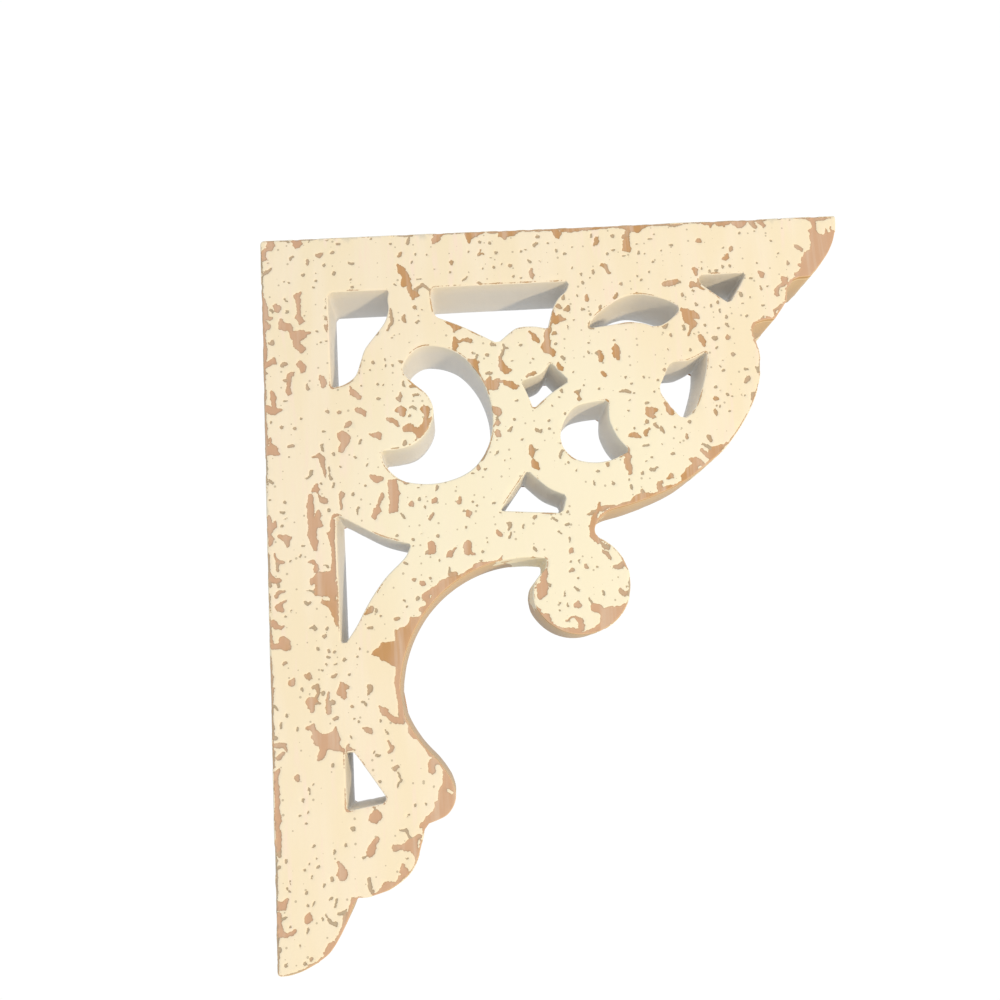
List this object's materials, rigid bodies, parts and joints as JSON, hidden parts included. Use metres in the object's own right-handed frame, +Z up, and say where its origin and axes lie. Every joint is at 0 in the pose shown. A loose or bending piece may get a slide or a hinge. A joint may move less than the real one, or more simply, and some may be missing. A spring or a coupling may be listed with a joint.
{
  "type": "wooden corbel bracket",
  "caption": "Flat scrollwork corbel bracket sawn from one board, with a wall edge, a shelf edge, pierced windows and worn chalk paint.",
  "frame": {"origin": "middle of the flat wall edge, halfway up and halfway through the board", "axes": "+X out from the wall, +Z up to the shelf edge, Y through the board's thickness; the pictured face looks along -Y"},
  "size_m": [0.2612, 0.0318, 0.305],
  "materials": {
    "chalk_painted_pine": "matte"
  },
  "bodies": {
    "root": {"corbel_board": "chalk_painted_pine"}
  },
  "joints": []
}
